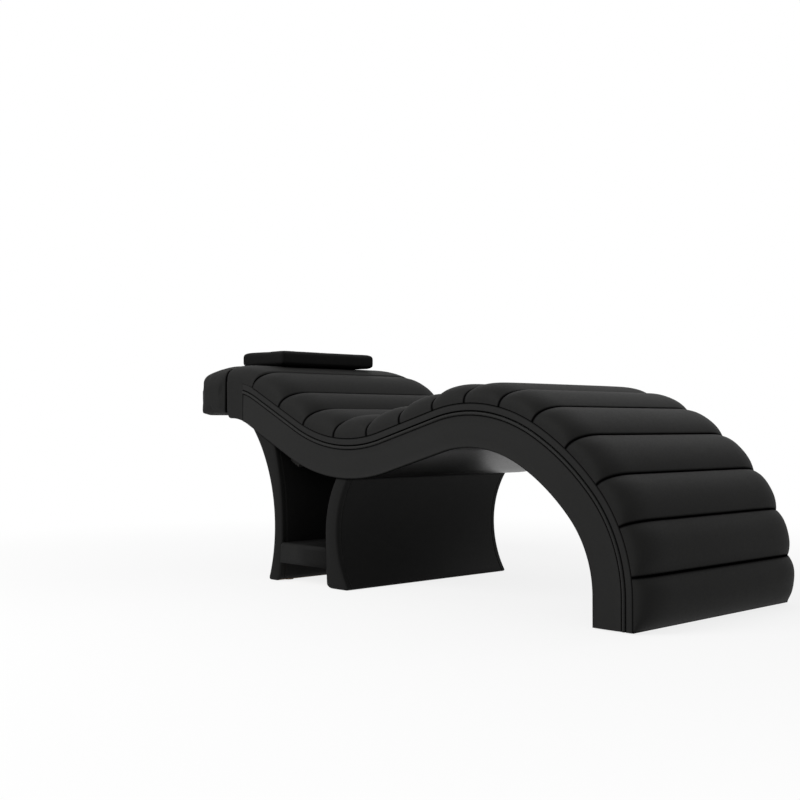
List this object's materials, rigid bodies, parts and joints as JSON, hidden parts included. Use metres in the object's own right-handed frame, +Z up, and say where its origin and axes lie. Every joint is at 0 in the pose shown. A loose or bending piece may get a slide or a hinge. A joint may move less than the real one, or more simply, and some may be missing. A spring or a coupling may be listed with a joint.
{
  "type": "curved lash bed",
  "caption": "Wave-shaped padded treatment bed with a channelled pad that runs down to the floor, a waisted base with a shelf, a pull-out headrest and a loose pillow.",
  "frame": {"origin": "middle of the bed's length and width, on the floor", "axes": "+X from the head to the foot, +Y to the far side, +Z up"},
  "size_m": [1.8255, 0.7306, 0.7464],
  "materials": {
    "quilted_cover": "satin grained leatherette",
    "plain_cover": "satin grained leatherette",
    "welt": "satin leatherette over a cord",
    "plywood": "raw birch plywood",
    "timber": "raw planed softwood",
    "foam": "open-cell foam",
    "steel": "bright drawn steel",
    "zinc": "zinc-plated steel",
    "nylon": "natural nylon",
    "glide": "moulded black polypropylene"
  },
  "bodies": {
    "bed": {"channel_pad": "quilted_cover", "head_wrap": "quilted_cover", "side_panel_near": "plain_cover", "side_panel_far": "plain_cover", "border_near": "plain_cover", "border_far": "plain_cover", "underside_cover": "plain_cover", "head_panel_cover": "plain_cover", "foot_panel_cover": "plain_cover", "shelf_cover": "plain_cover", "piping_near": "welt", "piping_far": "welt", "side_rib_near": "plywood", "side_rib_far": "plywood", "centre_rib": "plywood", "top_deck": "plywood", "lower_deck": "plywood", "front_bulkhead": "plywood", "rear_bulkhead": "plywood", "head_panel_core": "plywood", "foot_panel_core": "plywood", "shelf_board": "plywood", "cross_battens": "timber", "mounting_rails": "timber", "foot_block": "timber", "shelf_aprons": "timber", "shelf_dowels": "timber", "base_cleats": "timber", "pad_foam": "foam", "rod_sockets": "steel", "base_bolts": "zinc", "base_washers": "zinc", "tee_nuts": "zinc", "cleat_screws": "zinc", "rod_bushes": "nylon", "base_glides": "glide", "foot_glides": "glide"},
    "headrest": {"headrest_board": "plywood", "headrest_bar": "steel", "headrest_rods": "steel", "headrest_screws": "zinc", "headrest_cushion": "quilted_cover"},
    "pillow": {"head_pillow": "quilted_cover"}
  },
  "joints": [
    {"name": "headrest_slide", "type": "slide", "parent": "bed", "child": "headrest", "axis": [-1, 0, 0], "range_m": [0, 0.1]},
    {"name": "pillow_lift", "type": "slide", "parent": "bed", "child": "pillow", "axis": [0, 0, 1], "range_m": [0, 0.15]}
  ]
}
